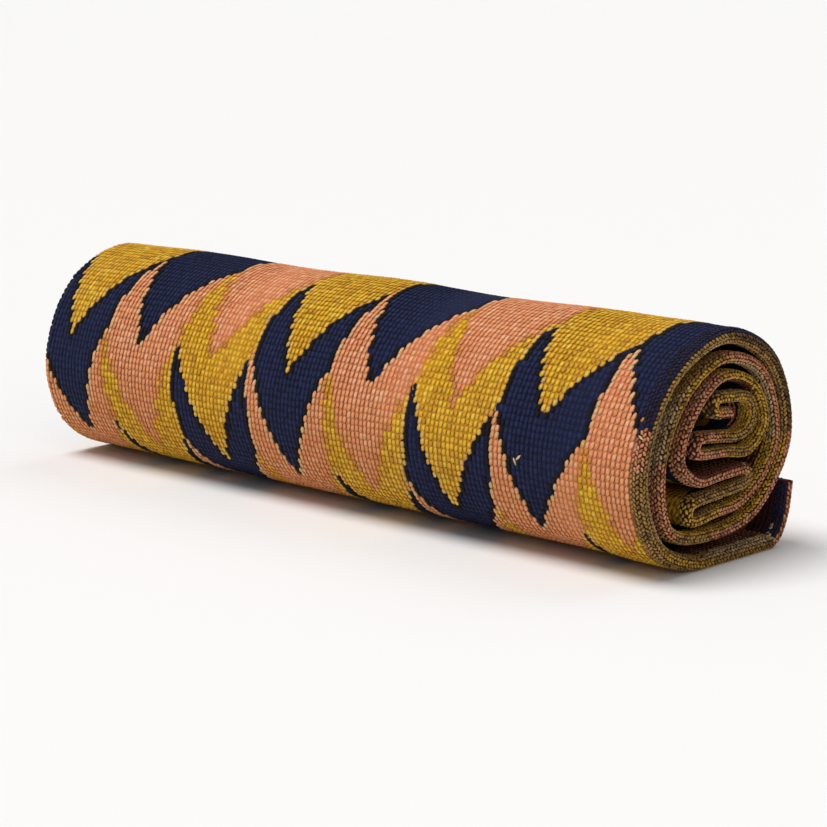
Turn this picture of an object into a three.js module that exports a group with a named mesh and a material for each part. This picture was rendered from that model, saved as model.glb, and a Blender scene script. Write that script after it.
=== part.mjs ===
import * as THREE from 'three';

// A kente cloth, folded in two along its length and rolled up. Millimetres, +Z up.
// The roll's axis runs along X. The folded edge of the cloth is at +X, its two selvedges are at -X,
// and the front, where the outer turn climbs, is at -Y. The origin is on the surface under the roll's middle.

const clothWidth = 450; // across the loom, before the fold
const rollLength = clothWidth / 2 + 2; // the ends stagger a little
const layer = 3; // the two plies of the folded cloth, pressed together
const restHeight = 29.5; // from the flat spot up to the roll's axis

// The turns of the doubled cloth, from the loose end inwards, a row for each:
// how far the middle of the cloth lies from the roll's axis on each side that it passes.
const turns = {
  outer: {
    backLow: 38.6, base: 28.7, frontLow: 29.4,
    front: 29.3, frontHigh: 29.5, top: 29.9, backHigh: 29.7,
  },
  second: {
    back: 29.4, backLow: 24.8, base: 21, frontLow: 24.4,
    front: 22.3, frontHigh: 21.9, top: 23.9, backHigh: 25.4,
  },
  third: { back: 25.2, pastBack: 21.4 },
  inner: { front: 15, frontHigh: 15.6, top: 19, backHigh: 21, beforeBack: 20.9 },
};
// Where those sides are, in degrees from the back upwards.
const sides = {
  top: 90, backHigh: 45, beforeBack: 13, back: 0, pastBack: -27,
  backLow: -45, base: -90, frontLow: -135, front: 180, frontHigh: 135,
};
const looseEnd = { back: 31.6, height: -12.5 }; // stands up behind the roll
const cornerDepth = { back: 30.6, height: -22 }; // where it starts to turn under

// The flat folds inside the turns, a row for each run, in the order in which the cloth passes:
// where its middle starts and stops, measured from the axis towards the back and upwards.
const lowFolds = [
  { name: 'under the core', fromBack: 10.5, fromHeight: -14.6, toBack: -8.5, toHeight: -16.2 },
  { name: 'second', fromBack: -8.5, fromHeight: -11.4, toBack: 11.5, toHeight: -10 },
  { name: 'third', fromBack: 11.5, fromHeight: -6, toBack: -7.5, toHeight: -6.2 },
];
const coreFolds = [
  { name: 'below', fromBack: 14.6, fromHeight: -1.4, toBack: -7, toHeight: 0.5 },
  { name: 'above', fromBack: -7, fromHeight: 4.4, toBack: 8.6, toHeight: 3.1 },
  { name: 'roof', fromBack: 8, fromHeight: 13.3, toBack: -1.5, toHeight: 14.1 },
  { name: 'inner end', fromBack: -1.9, fromHeight: 10.2, toBack: 3.8, toHeight: 9.6 },
];

// The folded edge puffs out a little and the selvedges are thinner: a row for each section along the roll,
// as a share of its length.
const stations = [
  { along: 0, thick: 0.62, puff: 0 },
  { along: 0.006, thick: 0.96, puff: 0 },
  { along: 0.1, thick: 1, puff: 0 },
  { along: 0.28, thick: 1, puff: 0 },
  { along: 0.5, thick: 1, puff: 0 },
  { along: 0.72, thick: 1, puff: 0 },
  { along: 0.9, thick: 1, puff: 0.25 },
  { along: 0.965, thick: 1, puff: 1 },
  { along: 0.988, thick: 1, puff: 1 },
  { along: 0.997, thick: 0.82, puff: 1 },
  { along: 1, thick: 0.45, puff: 1 },
];
const foldPuff = { most: 1.3, fullTo: 0.2, goneBy: 0.5 }; // mm that the fold adds, shares of the way inwards
const stepLength = 5.2; // along the cloth where it lies straight
const stepBend = THREE.MathUtils.degToRad(27); // and where it only bends
const finePoints = 3000; // of the curve from which the steps are taken
// The ends slant, standing out most on the side given in degrees, and the turns step in and out.
const nearEnd = { slant: 4.6, outmost: 108, stepDepth: 1.2, steps: 3 };
const farEnd = { slant: 1.6, outmost: 250, stepDepth: 0.9, steps: 3 };
const coreReach = 27; // from the axis, inside which the folds wander along the roll
const twist = THREE.MathUtils.degToRad(15); // of the core against the outside, from end to end
const sway = new THREE.Vector2(-2, 0.9); // of the core, halfway along
const hollow = { at: new THREE.Vector2(9, 8.2), reach: 7, closes: 0.4 }; // pressed nearly shut halfway along
const waist = { draws: 0.35, count: 3 }; // mm that the roll draws in, so many times along its length
const tightest = 0.62; // share of a bend's radius that the cloth on its inside may fill

const polar = (distance, degrees) => {
  const angle = THREE.MathUtils.degToRad(degrees);
  return new THREE.Vector2(distance * Math.cos(angle), distance * Math.sin(angle));
};

const turnPoints = (turn) => Object.entries(turn).map(([side, distance]) => polar(distance, sides[side]));

// Each run gives its two ends and its middle. Between two runs lies a half round bend, past their ends.
function foldPoints(folds) {
  const points = [];
  folds.forEach((fold, index) => {
    const start = new THREE.Vector2(fold.fromBack, fold.fromHeight);
    const stop = new THREE.Vector2(fold.toBack, fold.toHeight);
    points.push(start, start.clone().lerp(stop, 0.5), stop);
    const next = folds[index + 1];
    if (!next) return;
    const ahead = new THREE.Vector2(next.fromBack, next.fromHeight);
    const center = stop.clone().lerp(ahead, 0.5);
    const turning = Math.sign(stop.x - start.x) * Math.sign(ahead.y - stop.y);
    [45, 90, 135].forEach((degrees) => {
      points.push(stop.clone().rotateAround(center, turning * THREE.MathUtils.degToRad(degrees)));
    });
  });
  return points;
}

// The middle of the cloth across the roll, not below the level of the flat spot.
// The steps are shorter in a bend.
function clothRoute() {
  const points = [
    new THREE.Vector2(looseEnd.back, looseEnd.height),
    new THREE.Vector2(cornerDepth.back, cornerDepth.height),
    ...turnPoints(turns.outer),
    ...turnPoints(turns.second),
    ...turnPoints(turns.third),
    ...foldPoints(lowFolds),
    ...turnPoints(turns.inner),
    ...foldPoints(coreFolds),
  ];
  const through = points.map((p) => new THREE.Vector3(p.x, p.y, 0));
  const curve = new THREE.CatmullRomCurve3(through, false, 'centripetal');
  curve.arcLengthDivisions = finePoints;
  const level = layer / 2 - restHeight;
  const fine = curve.getSpacedPoints(finePoints).map((p) => new THREE.Vector2(p.x, Math.max(p.y, level)));
  const route = [{ point: fine[0], inward: 0 }];
  let due = 0;
  for (let i = 1; i < finePoints; i += 1) {
    const before = fine[i].clone().sub(fine[i - 1]);
    const after = fine[i + 1].clone().sub(fine[i]);
    const turned = Math.asin(before.cross(after) / before.length() / after.length());
    due += after.length() / stepLength + Math.abs(turned) / stepBend;
    if (due >= 1) {
      route.push({ point: fine[i], inward: i / finePoints });
      due = 0;
    }
  }
  route.push({ point: fine[finePoints], inward: 1 });
  return route;
}

// The same route further along the roll: the core turned and pressed, the top drawn in, the flat spot kept.
function routeAt(route, along) {
  const midway = Math.sin(Math.PI * along);
  const drawnIn = (waist.draws / restHeight) * (1 + Math.cos(2 * Math.PI * waist.count * along));
  return route.map(({ point }) => {
    const inside = Math.max(0, 1 - (point.length() / coreReach) ** 2);
    const fromHollow = point.clone().sub(hollow.at);
    const pressed = hollow.closes * midway ** 2 * Math.exp(-((fromHollow.length() / hollow.reach) ** 2));
    const moved = point.clone().addScaledVector(fromHollow, -pressed);
    moved.rotateAround(new THREE.Vector2(), twist * (1 - along) * inside);
    moved.addScaledVector(sway, midway * inside);
    if (moved.y > 0) moved.multiplyScalar(1 - drawnIn * (1 - inside));
    return moved;
  });
}

// Half the cloth's thickness, with the folded edge puffed on the outer turns only.
function halfThickness(inward, station) {
  const puff = foldPuff.most * (1 - THREE.MathUtils.smoothstep(inward, foldPuff.fullTo, foldPuff.goneBy));
  return ((layer + puff * station.puff) * station.thick) / 2;
}

// How far the cloth stays back from the roll's full length at one of its ends.
function edgeInset(point, inward, end) {
  const slant = end.slant * (1 - point.dot(polar(1, end.outmost)) / restHeight) / 2;
  return slant + end.stepDepth * Math.sin(Math.PI * end.steps * inward) ** 2;
}

// The outline of the cloth at one station: out along one face and back along the other.
function ringAt(route, station) {
  const middle = routeAt(route, station.along);
  const faces = [[], []];
  middle.forEach((point, step) => {
    const { inward } = route[step];
    const before = middle[Math.max(step - 1, 0)];
    const after = middle[Math.min(step + 1, middle.length - 1)];
    const heading = after.clone().sub(before);
    const bend = point.clone().sub(before).cross(after.clone().sub(point)) / (heading.length() / 2) ** 3;
    const normal = new THREE.Vector2(-heading.y, heading.x).normalize();
    const near = rollLength / 2 - edgeInset(point, inward, nearEnd);
    const far = -rollLength / 2 + edgeInset(point, inward, farEnd);
    const x = THREE.MathUtils.lerp(far, near, station.along);
    [1, -1].forEach((side, index) => {
      const room = side * bend > 0 ? tightest / Math.abs(bend) : Infinity;
      const at = point.clone().addScaledVector(normal, side * Math.min(halfThickness(inward, station), room));
      faces[index].push(new THREE.Vector3(x, at.x, Math.max(at.y + restHeight, 0)));
    });
  });
  return [...faces[0], ...faces[1].reverse()];
}

// Skins the rings into one closed body. An end is a strip of quads between its two faces.
function rolledCloth() {
  const route = clothRoute();
  const rings = stations.map((station) => ringAt(route, station));
  const size = rings[0].length;
  const index = [];
  const quad = (a, b, c, d) => index.push(a, b, c, a, c, d);
  for (let ring = 0; ring + 1 < rings.length; ring += 1) {
    for (let i = 0; i < size; i += 1) {
      const j = (i + 1) % size;
      quad(ring * size + i, (ring + 1) * size + i, (ring + 1) * size + j, ring * size + j);
    }
  }
  const last = (rings.length - 1) * size;
  for (let i = 0; i + 1 < route.length; i += 1) {
    const across = size - 1 - i;
    quad(i, i + 1, across - 1, across);
    quad(last + i, last + across, last + across - 1, last + i + 1);
  }
  const geometry = new THREE.BufferGeometry();
  const coordinates = rings.flat().flatMap((p) => p.toArray());
  geometry.setAttribute('position', new THREE.Float32BufferAttribute(coordinates, 3));
  geometry.setIndex(index);
  geometry.computeBoundingBox();
  const middle = geometry.boundingBox.getCenter(new THREE.Vector3());
  geometry.translate(-middle.x, -middle.y, 0);
  geometry.computeVertexNormals();
  return geometry;
}

const kente = new THREE.MeshStandardMaterial({ color: 0xcd9a3a, roughness: 0.9, metalness: 0 });
const cloth = new THREE.Mesh(rolledCloth(), kente);
cloth.name = 'cloth_roll';

const kenteRoll = new THREE.Group();
kenteRoll.add(cloth);

export default kenteRoll;
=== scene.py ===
# A handwoven kente cloth, folded in two along its length and rolled up.
# The sheet is one mesh, and every yarn float that shows is laid on it as real yarn.
import math

import bpy
import numpy as np
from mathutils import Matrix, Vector


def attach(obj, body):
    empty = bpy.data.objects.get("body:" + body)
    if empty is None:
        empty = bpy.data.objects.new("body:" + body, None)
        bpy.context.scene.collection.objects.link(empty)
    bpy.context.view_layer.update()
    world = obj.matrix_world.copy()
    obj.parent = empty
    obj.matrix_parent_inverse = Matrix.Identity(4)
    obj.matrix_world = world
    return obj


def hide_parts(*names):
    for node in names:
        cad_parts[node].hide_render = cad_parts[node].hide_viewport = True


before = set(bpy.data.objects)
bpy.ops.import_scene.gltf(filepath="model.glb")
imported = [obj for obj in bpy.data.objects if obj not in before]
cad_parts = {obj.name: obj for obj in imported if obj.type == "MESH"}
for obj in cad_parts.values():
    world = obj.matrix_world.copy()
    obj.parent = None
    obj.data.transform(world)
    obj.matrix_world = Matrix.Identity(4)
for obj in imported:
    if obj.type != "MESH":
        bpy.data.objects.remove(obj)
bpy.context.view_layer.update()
scene = bpy.context.scene
mm = 0.001
print("frame loaded")

# The roll, in mm. Across it, a place is (towards the back, upwards) from the roll's axis.
roll = {
    "clothWidth": 450,
    "length": 227,
    "layer": 3.0,
    "axisAt": (0.294, -1.217, 29.5),  # where the roll's axis lies in the frame
    "sides": {
        "top": 90, "backHigh": 45, "beforeBack": 13, "back": 0, "pastBack": -27,
        "backLow": -45, "base": -90, "frontLow": -135, "front": 180, "frontHigh": 135,
    },
    "outer": {
        "backLow": 38.6, "base": 28.7, "frontLow": 29.4,
        "front": 29.3, "frontHigh": 29.5, "top": 29.9, "backHigh": 29.7,
    },
    "second": {
        "back": 29.4, "backLow": 24.8, "base": 21, "frontLow": 24.4,
        "front": 22.3, "frontHigh": 21.9, "top": 23.9, "backHigh": 25.4,
    },
    "third": {"back": 25.2, "pastBack": 21.4},
    "inner": {"front": 15, "frontHigh": 15.6, "top": 19, "backHigh": 21, "beforeBack": 20.9},
    "looseEnd": (31.6, -12.5),  # stands up behind the roll
    "cornerDepth": (30.6, -22),  # where it starts to turn under
    # start and stop of each flat fold in the core
    "lowFolds": [
        ((10.5, -14.6), (-8.5, -16.2)),
        ((-8.5, -11.4), (11.5, -10)),
        ((11.5, -6), (-7.5, -6.2)),
    ],
    "coreFolds": [
        ((14.6, -1.4), (-7, 0.5)),
        ((-7, 4.4), (8.6, 3.1)),
        ((8, 13.3), (-1.5, 14.1)),
        ((-1.9, 10.2), (3.8, 9.6)),
    ],
    # mm that the fold adds, shares of the way inwards, and shares of the length
    "foldPuff": {"most": 1.3, "fullTo": 0.2, "goneBy": 0.5, "from": 0.86, "to": 0.965},
    # the ends slant, standing out most on the side given in degrees, and the turns step in and out
    "nearEnd": {"slant": 4.6, "outmost": 108, "stepDepth": 1.2, "steps": 3},
    "farEnd": {"slant": 1.6, "outmost": 250, "stepDepth": 0.9, "steps": 3},
    "coreReach": 27,  # from the axis, inside which the folds wander along the roll
    "twist": math.radians(15),  # of the core against the outside, from end to end
    "sway": (-2, 0.9),  # of the core, halfway along
    "hollow": {"at": (9, 8.2), "reach": 7, "closes": 0.4},  # pressed nearly shut halfway along
    # mm that the upper side draws in, how many times along the roll, and how far round the axis that fades
    "waist": {"draws": 0.35, "count": 3, "fades": 9},
    "tightest": 0.62,  # share of a bend's radius that the cloth on its inside may fill
}
finePoints = 3000  # along the whole route
stepsBetween = 60  # from one of its named places to the next
bendAngles = (45, 90, 135)  # of the points on a half round bend between two folds


def polar(distance, degrees):
    angle = math.radians(degrees)
    return np.array([distance * math.cos(angle), distance * math.sin(angle)])


def turnPoints(name):
    return [(f"{name} {side}", polar(distance, roll["sides"][side]))
            for side, distance in roll[name].items()]


def foldPoints(name):
    points = []
    folds = [(np.array(start, float), np.array(stop, float)) for start, stop in roll[name]]
    for index, (start, stop) in enumerate(folds):
        label = f"{name} {index + 1}"
        points += [(label, start), (label + " middle", (start + stop) / 2), (label + " stop", stop)]
        if index + 1 == len(folds):
            break
        ahead = folds[index + 1][0]
        center = (stop + ahead) / 2
        turning = np.sign(stop[0] - start[0]) * np.sign(ahead[1] - stop[1])
        for degrees in bendAngles:
            angle = turning * math.radians(degrees)
            spoke = stop - center
            points.append((f"{label} bend {degrees}", center + np.array([
                spoke[0] * math.cos(angle) - spoke[1] * math.sin(angle),
                spoke[0] * math.sin(angle) + spoke[1] * math.cos(angle),
            ])))
    return points


def smoothThrough(points):
    # centripetal curve through the points, which doesn't overshoot in the tight folds
    points = np.array(points)
    ends = [2 * points[0] - points[1], 2 * points[-1] - points[-2]]
    padded = np.vstack([ends[0], points, ends[1]])
    t = np.linspace(0, 1, stepsBetween, endpoint=False)[:, None]
    pieces = []
    for a, b, c, d in zip(padded, padded[1:], padded[2:], padded[3:]):
        gaps = [math.sqrt(np.linalg.norm(q - p)) for p, q in ((a, b), (b, c), (c, d))]
        leave = ((b - a) / gaps[0] - (c - a) / (gaps[0] + gaps[1]) + (c - b) / gaps[1]) * gaps[1]
        reach = ((c - b) / gaps[1] - (d - b) / (gaps[1] + gaps[2]) + (d - c) / gaps[2]) * gaps[1]
        pieces.append(b + leave * t + (3 * (c - b) - 2 * leave - reach) * t**2
                      + (2 * (b - c) + leave + reach) * t**3)
    return np.vstack(pieces + [points[-1:]])


def measured(line):
    # how far along the line each of its points is
    return np.concatenate([[0], np.cumsum(np.linalg.norm(np.diff(line, axis=0), axis=1))])


routePlan = [("loose end", np.array(roll["looseEnd"])), ("corner", np.array(roll["cornerDepth"]))]
routePlan += turnPoints("outer") + turnPoints("second") + turnPoints("third")
routePlan += foldPoints("lowFolds") + turnPoints("inner") + foldPoints("coreFolds")
routeRough = smoothThrough([point for name, point in routePlan])
roughLength = measured(routeRough)
placeArc = {name: roughLength[stepsBetween * i] for i, (name, point) in enumerate(routePlan)}
clothLength = roughLength[-1]
routeArc = np.linspace(0, clothLength, finePoints + 1)
route = np.column_stack([np.interp(routeArc, roughLength, routeRough[:, i]) for i in (0, 1)])
route[:, 1] = np.maximum(route[:, 1], roll["layer"] / 2 - roll["axisAt"][2])
print("route:", round(clothLength), "mm of doubled cloth")


def smoothStep(value, low, high):
    # from 0 at low to 1 at high, with soft ends
    t = np.clip((value - low) / (high - low), 0, 1)
    return t * t * (3 - 2 * t)


def middleAt(arc, along):
    # the middle of the doubled cloth, arc mm from its loose end, at a share of the roll's length
    point = np.column_stack([np.interp(arc, routeArc, route[:, i]) for i in (0, 1)])
    midway = np.sin(np.pi * along)
    inside = np.maximum(0, 1 - (np.linalg.norm(point, axis=1) / roll["coreReach"]) ** 2)
    fromHollow = point - roll["hollow"]["at"]
    near = np.exp(-((np.linalg.norm(fromHollow, axis=1) / roll["hollow"]["reach"]) ** 2))
    point = point - fromHollow * (roll["hollow"]["closes"] * midway**2 * near)[:, None]
    angle = roll["twist"] * (1 - along) * inside
    cos, sin = np.cos(angle), np.sin(angle)
    back, up = point.T
    point = np.column_stack([back * cos - up * sin, back * sin + up * cos])
    point = point + np.outer(midway * inside, roll["sway"])
    waist = roll["waist"]
    drawn = waist["draws"] / roll["axisAt"][2] * (1 + np.cos(2 * np.pi * waist["count"] * along))
    upper = smoothStep(point[:, 1], -waist["fades"], waist["fades"])
    return point * (1 - drawn * (1 - inside) * upper)[:, None]


def headingAt(arc, along, reach=0.5):
    # the way that the cloth heads, from reach mm before the place to reach mm after it
    ahead = middleAt(np.minimum(arc + reach, clothLength), along)
    behind = middleAt(np.maximum(arc - reach, 0), along)
    gone = ahead - behind
    return gone / np.linalg.norm(gone, axis=1)[:, None]


def outwardAt(arc, along):
    # square to the cloth, and outwards on the turns
    heading = headingAt(arc, along)
    return np.column_stack([-heading[:, 1], heading[:, 0]])


def bendAt(arc, along, reach=0.6):
    # how sharply it bends there: one over the radius in mm, negative for a bend the other way
    behind = headingAt(np.maximum(arc - reach, 0), along)
    ahead = headingAt(np.minimum(arc + reach, clothLength), along)
    return (behind[:, 0] * ahead[:, 1] - behind[:, 1] * ahead[:, 0]) / (2 * reach)


def endInset(arc, along, end):
    # how far the cloth stays back from the roll's full length at one of its ends
    point = middleAt(arc, along)
    slant = end["slant"] * (1 - point @ polar(1, end["outmost"]) / roll["axisAt"][2]) / 2
    return slant + end["stepDepth"] * np.sin(np.pi * end["steps"] * arc / clothLength) ** 2


def reachOf(arc):
    # how far the cloth goes towards the folded edge, and towards the selvedges
    near = roll["length"] / 2 - endInset(arc, np.ones_like(arc), roll["nearEnd"])
    far = -roll["length"] / 2 + endInset(arc, np.zeros_like(arc), roll["farEnd"])
    return near, far


def alongAt(arc, x):
    near, far = reachOf(arc)
    return np.clip((x - far) / (near - far), 0, 1)


sheet = {
    "sunk": 0.3,  # below the tops of the floats
    "slit": 0.16,  # between the two plies
    "rowStep": 1.7,  # along the cloth where it lies straight
    "rowBend": math.radians(10),  # and where it only bends
    "bendsFrom": 0.9,  # share of the length where those bends are measured
    "lip": 0.45,  # rounding of a selvedge
    "foldSteps": 8,
    # places along a ply, as shares of its length
    "columns": [0.012, 0.04, 0.1, 0.2, 0.3, 0.4, 0.5, 0.6, 0.7, 0.8, 0.87, 0.92, 0.95, 0.97, 0.985],
    # how far from the crown the ground has the edge's colours, on the outer and on the inner ply
    "edgeGround": {"outerTo": 4, "innerFrom": 10, "innerTo": 16},
    # shares of the flat map: the outside, the inside, and a strip for the two cut ends
    "map": {"outsideTo": 0.9, "insideFrom": 0.91, "clothTo": 0.96, "endsFrom": 0.97,
            "endSide": 0.01, "endStep": 0.015},
}
straight = 1e-6  # a bend below this counts as none


def halfAt(arc, along):
    # half the thickness of the doubled cloth without its floats: the fold puffs out on the outer turns
    puff = roll["foldPuff"]
    inward = arc / clothLength
    extra = puff["most"] * (1 - smoothStep(inward, puff["fullTo"], puff["goneBy"]))
    return (roll["layer"] + extra * smoothStep(along, puff["from"], puff["to"])) / 2 - sheet["sunk"]


def placed(arc, x, offset):
    # a place on the cloth in metres: offset mm outwards from its middle, and the way its face looks
    along = alongAt(arc, x)
    middle = middleAt(arc, along)
    outward = outwardAt(arc, along)
    bend = bendAt(arc, along)
    room = np.where(bend * offset > 0, roll["tightest"] / np.maximum(np.abs(bend), straight), np.inf)
    across = middle + outward * (np.sign(offset) * np.minimum(np.abs(offset), room))[:, None]
    axisX, axisY, axisZ = roll["axisAt"]
    height = np.maximum(across[:, 1] + axisZ, sheet["sunk"])
    return np.column_stack([x + axisX, across[:, 0] + axisY, height]) * mm, outward


def rowArcs():
    # where the sheet's rows lie on the route: closer together in a bend
    turned = np.abs(bendAt(routeArc, np.full_like(routeArc, sheet["bendsFrom"])))
    density = (1 / sheet["rowStep"] + turned / sheet["rowBend"])[1:]
    due = np.concatenate([[0], np.cumsum(density * np.diff(routeArc))])
    return np.interp(np.linspace(0, due[-1], int(due[-1])), due, routeArc)


def profile():
    # one way round the doubled cloth, from the outer selvedge over the fold to the inner one:
    # share of the length, how far round the fold, which ply
    steps = sheet["foldSteps"]
    rows = [("lip", 0.0, 1)] + [("face", share, 1) for share in sheet["columns"]]
    rows += [("fold", math.pi / 2 - math.pi * i / steps, 0) for i in range(steps + 1)]
    rows += [("face", share, -1) for share in reversed(sheet["columns"])] + [("lip", 0.0, -1)]
    return rows


def sheetLoop(arcs, rows):
    # the points round the outside of the profile and back along the slit, as profile, row, xyz,
    # and how far across the cloth each of them lies from the fold's crown
    near, far = reachOf(arcs)
    foldHalf = halfAt(arcs, np.ones_like(arcs))
    slit = sheet["slit"] / 2
    outside, inside, acrossOut, acrossIn = [], [], [], []
    for kind, share, ply in rows:
        if kind == "fold":
            x = near - foldHalf + foldHalf * math.cos(share)
            offset = foldHalf * math.sin(share)
            xIn = near - foldHalf + slit * math.cos(share)
            offsetIn = np.full_like(arcs, slit * math.sin(share))
            acrossOut.append(-share * foldHalf)
            acrossIn.append(np.full_like(arcs, -share * slit))
        else:
            x = far + share * (near - foldHalf - far)
            tuck = sheet["lip"] if kind == "lip" else 0
            offset = ply * (halfAt(arcs, np.full_like(arcs, share)) - tuck)
            xIn = x
            offsetIn = np.full_like(arcs, ply * (slit + tuck))
            acrossOut.append(-ply * (near - foldHalf - x + math.pi / 2 * foldHalf))
            acrossIn.append(acrossOut[-1])
        outside.append(placed(arcs, x, offset)[0])
        inside.append(placed(arcs, xIn, offsetIn)[0])
    return np.array(outside + inside[::-1]), np.array(acrossOut + acrossIn[::-1])


def sheetQuads(count, rowCount):
    # the skin from each row to the next, and then the strips that close the two cut ends
    quads = []
    for row in range(rowCount - 1):
        a = row * count
        for i in range(count):
            j = (i + 1) % count
            quads.append((a + i, a + j, a + count + j, a + count + i))
    last = (rowCount - 1) * count
    for i in range(count // 2 - 1):
        k = count - 1 - i
        quads.append((i, k, k - 1, i + 1))
        quads.append((last + i, last + i + 1, last + k - 1, last + k))
    return quads


fieldOf = {"FLOAT": "value", "FLOAT_VECTOR": "vector", "FLOAT_COLOR": "color"}


def keepOn(mesh, kind, name, values):
    # one value, direction or colour for each vertex, which the material or the tree reads by its name
    if kind == "FLOAT_COLOR":
        values = np.column_stack([values, np.ones(len(values))])
    kept = mesh.attributes.new(name, kind, "POINT")
    kept.data.foreach_set(fieldOf[kind], values.astype(np.float32).ravel())


def addToScene(name, data):
    made = bpy.data.objects.new(name, data)
    scene.collection.objects.link(made)
    return made


def makeSheet():
    arcs = rowArcs()
    rows = profile()
    loop, acrossAll = sheetLoop(arcs, rows)
    count, rowCount = loop.shape[:2]
    mesh = bpy.data.meshes.new("doubled cloth")
    mesh.from_pydata(loop.transpose(1, 0, 2).reshape(-1, 3).tolist(), [], sheetQuads(count, rowCount))
    mesh.update()
    across, arc = acrossAll.T.ravel(), np.repeat(arcs, count)
    outerFace = np.tile(np.arange(count) < len(rows) // 2, rowCount)
    edge = sheet["edgeGround"]
    facts = {
        "across": across, "along": arc, "patternX": patternAt(arc, across), "down": downAt(arc),
        "covered": np.where(outerFace & (arc < placeArc["second back"]), 1.0, 0.0),
        "nearEdge": np.where(across < -edge["outerTo"], 0.0,
                             smoothStep(-np.abs(across), -edge["innerTo"], -edge["innerFrom"])),
    }
    for name, values in facts.items():
        keepOn(mesh, "FLOAT", name, values)
    grounds = np.array([dye[row[-1]] for row in edgeColours])
    keepOn(mesh, "FLOAT_COLOR", "edgeGround", grounds[edgeSection(arc)])
    addFlatMap(mesh, count, rowCount, arcs)
    mesh.shade_smooth()
    return addToScene("doubled cloth", mesh)


def addFlatMap(mesh, count, rowCount, arcs):
    # the sheet laid flat: round the profile one way, along the cloth the other
    part = sheet["map"]
    half = count // 2
    outside = np.linspace(0, part["outsideTo"], half)
    place = np.concatenate([outside, np.linspace(part["insideFrom"], 1, half + 1)])
    flat = mesh.uv_layers.new(name="OFBake")
    index = np.empty(len(mesh.loops), int)
    mesh.loops.foreach_get("vertex_index", index)
    turn, row = index % count, index // count
    quad = np.repeat(np.arange(len(mesh.polygons)), 4)
    wraps = (turn == 0) & (quad < (rowCount - 1) * count) & (quad % count == count - 1)
    u = place[np.where(wraps, count, turn)]
    v = arcs[row] / arcs[-1] * part["clothTo"]
    cap = quad >= (rowCount - 1) * count  # the two cut ends lie in a strip above
    v = np.where(cap, part["endsFrom"] + part["endSide"] * (turn >= half) + part["endStep"] * (row > 0), v)
    u = np.where(cap, np.where(turn < half, place[turn], place[count - 1 - turn]), u)
    flat.data.foreach_set("uv", np.column_stack([u, v]).astype(np.float32).ravel())


def patternAt(arc, across):
    # where a place lies in the pattern: its x on the outer ply, and further on past the fold
    near, far = reachOf(arc)
    return near + (np.pi / 2 - 1) * halfAt(arc, np.ones_like(arc)) + across


# The flame pattern, by a formula, in mm: x along the roll from its middle, down from the top over the front.
flame = {
    "order": ("gold", "navy", "coral"),
    "column": 30, "firstColumn": -102,  # a flame's width, and the middle of the first
    "tip": 40, "tipStep": 32,  # where its point is, and from one point to the next below
    "apex": 8.5, "apexStep": 28,  # where two flames part, and from one parting to the next
    "leanAbove": 0.17, "leanBelow": 0.0013, "leanFrom": -50,  # how they lean above and below the points
    "apexSinks": 0.13, "sinksFrom": 45,  # the partings lie lower towards the folded edge
    "mirrorAt": -12,  # the line behind the top where the flames turn back
    "stretch": 1.05,  # the outer face is longer than the middle of the cloth
}


def downAt(arc):
    # how far down the front a place lies in the pattern, or down the back past the mirror line
    down = (placeArc["outer top"] - arc) * flame["stretch"]
    return np.abs(down - flame["mirrorAt"]) + flame["mirrorAt"]


def flameAt(x, down):
    # which colour of the order a place has
    lean = flame["leanAbove"] * np.maximum(0, flame["tip"] - down)
    lean = lean - flame["leanBelow"] * np.maximum(0, down - flame["tip"]) * (x - flame["leanFrom"])
    shifted = (x - lean - flame["firstColumn"]) / flame["column"] + 0.5
    column = np.floor(shifted)
    side = np.abs(shifted - column - 0.5) * 2
    apex = flame["apex"] + flame["apexSinks"] * np.maximum(0, x - flame["sinksFrom"])
    height = down - flame["tip"] + side * (flame["tip"] - apex)
    deep = flame["tipStep"] - side * (flame["tipStep"] - flame["apexStep"])
    step = np.maximum(np.ceil(height / deep), 0)
    return ((column + step) % len(flame["order"])).astype(int)


# The yarn, with its lengths in mm.
yarn = {
    "pitch": 1.47,  # between columns of floats
    "repeat": 1.68,  # along a column
    "edgePitch": 0.86, "edgeRepeat": 1.22,  # on the folded edge, where the floats are finer
    "edgeStagger": 0.5,  # every other column there is that share of a float further on
    "jitterAlong": 0.09, "jitterAcross": 0.06,  # how far a float strays from its place
    "seed": 7,
    "bareStart": 0.6, "bareEnd": 0.4,  # left bare at the cloth's two ends
    "bareSelvedge": 0.5,
    "pastOuterTurn": 6,  # how far under the loose end the outer turn's floats go on
    "foldColumns": 3,  # columns of the face's pitch on the fold's own round, on each side of its crown
    "besideColumns": 4,  # plain columns beside it, on the windings inside the roll
    "crown": 0.9,  # how far from the middle of the fold its crown's colours go
    "edgeMingle": 2.2,  # how far the floats of one section of the edge stray into the next
    "braid": 0.5,  # how far the floats on the folded edge lean, one column left and the next right
    "deepShade": 0.36,  # how light the faces inside the roll are
}
dice = np.random.default_rng(yarn["seed"])


def onSurface(arc, across):
    # arc mm from the loose end and across mm from the fold's crown, negative on the outer ply
    half = halfAt(arc, np.ones_like(arc))
    near, far = reachOf(arc)
    turn = np.clip(across / half, -np.pi / 2, np.pi / 2)
    past = np.maximum(np.abs(across) - np.pi / 2 * half, 0)
    x = near - half + half * np.cos(turn) - past
    halfHere = np.where(past > 0, halfAt(arc, alongAt(arc, x)), half)
    offset = -halfHere * np.sin(turn)
    spot, outward = placed(arc, x, offset)
    facing = np.column_stack([np.cos(turn), -np.sin(turn) * outward[:, 0], -np.sin(turn) * outward[:, 1]])
    heading = np.column_stack([np.zeros_like(arc), headingAt(arc, alongAt(arc, x))])
    return spot, facing, heading, x > far + yarn["bareSelvedge"]


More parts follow.
